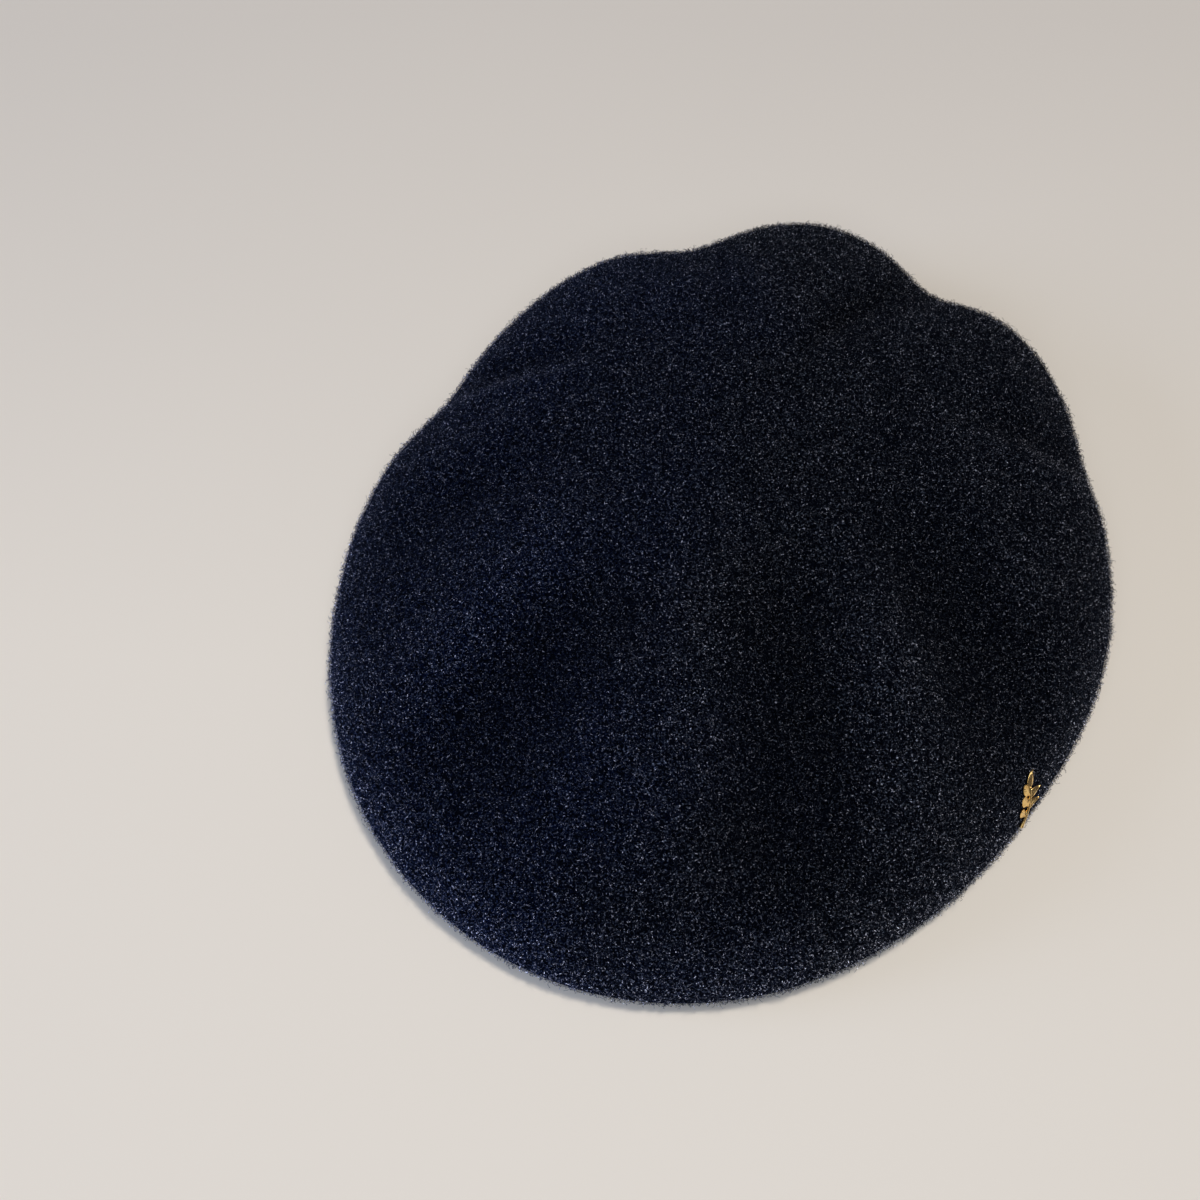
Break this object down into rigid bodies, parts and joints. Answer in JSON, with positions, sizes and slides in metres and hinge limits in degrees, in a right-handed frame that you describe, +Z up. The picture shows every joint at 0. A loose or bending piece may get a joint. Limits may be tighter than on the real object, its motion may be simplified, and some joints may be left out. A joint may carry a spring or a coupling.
{
  "type": "knitted wool beret",
  "caption": "Broad dark fulled-knit beret lying on its head opening, its full crown slumped into soft radial folds, with a small gilt leaf sprig pinned by the rim.",
  "frame": {"origin": "middle of the beret's footprint, on the surface that it lies on", "axes": "+Z up out of the crown, -Y towards the edge that lies lowest, where the crown is fullest towards +Y"},
  "size_m": [0.286, 0.302, 0.058],
  "materials": {
    "wool": "fulled wool knit, navy black, with a soft short nap",
    "gilt": "polished gilt, darker in the hollows",
    "brass": "plain stamped brass, satin"
  },
  "bodies": {
    "root": {"crown": "wool", "ornament": "gilt", "clutch": "brass"}
  },
  "joints": []
}
